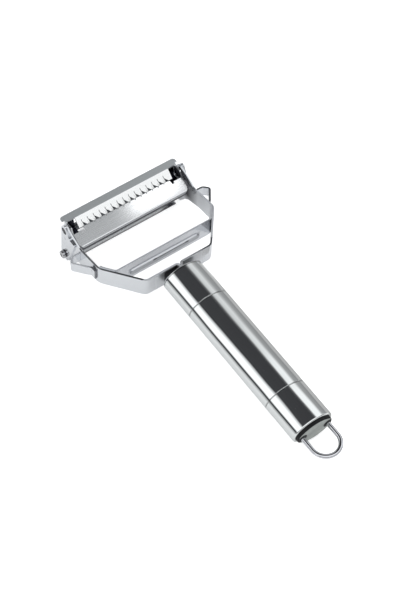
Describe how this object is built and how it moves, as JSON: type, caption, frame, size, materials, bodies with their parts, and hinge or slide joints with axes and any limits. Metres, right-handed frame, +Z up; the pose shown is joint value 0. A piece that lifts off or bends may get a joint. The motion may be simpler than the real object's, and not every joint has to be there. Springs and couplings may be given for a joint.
{
  "type": "julienne peeler",
  "caption": "Dual-sided steel peeler: an oval tube handle and a bent strip frame that holds a swinging julienne blade above a swinging straight blade.",
  "frame": {"origin": "on the handle's long axis, where the rounding of its front rim begins", "axes": "+Y from the handle towards the head, +X towards the right arm seen from above with the head away, +Z up, the side of the julienne blade"},
  "size_m": [0.0782, 0.1702, 0.026],
  "materials": {
    "handle_steel": "drawn oval tube, fine lengthwise satin polish",
    "plug_black": "plain dark moulded plastic",
    "cap_grey": "dull grey moulded plastic",
    "wire_steel": "bright drawn wire",
    "frame_steel": "satin sheet metal, bright cut edges",
    "plate_steel": "satin sheet metal",
    "bar_steel": "satin sheet metal with a pressed bead",
    "rivet_steel": "turned and headed steel",
    "guide_steel": "brushed along the plate's length",
    "blade_steel": "matte ground flange, bright ground teeth"
  },
  "bodies": {
    "frame": {"handle_tube": "handle_steel", "front_plug": "plug_black", "end_cap": "cap_grey", "hanging_loop": "wire_steel", "arm_left": "frame_steel", "arm_right": "frame_steel", "end_plate_left": "plate_steel", "end_plate_right": "plate_steel", "crossbar": "bar_steel", "eye_loop_left": "frame_steel", "eye_loop_right": "frame_steel", "upper_pivot_left": "rivet_steel", "upper_pivot_right": "rivet_steel", "lower_pivot_left": "rivet_steel", "lower_pivot_right": "rivet_steel"},
    "julienne_unit": {"julienne_guide": "guide_steel", "julienne_blade": "blade_steel"},
    "blade_unit": {"straight_blade": "blade_steel"}
  },
  "joints": [
    {"name": "julienne_swivel", "type": "hinge", "parent": "frame", "child": "julienne_unit", "pos_m": [0, 0.048, 0.0046], "axis": [1, 0, 0], "range_deg": [-20, 20]},
    {"name": "blade_swivel", "type": "hinge", "parent": "frame", "child": "blade_unit", "pos_m": [0, 0.0485, -0.0134], "axis": [1, 0, 0], "range_deg": [-20, 20]}
  ]
}
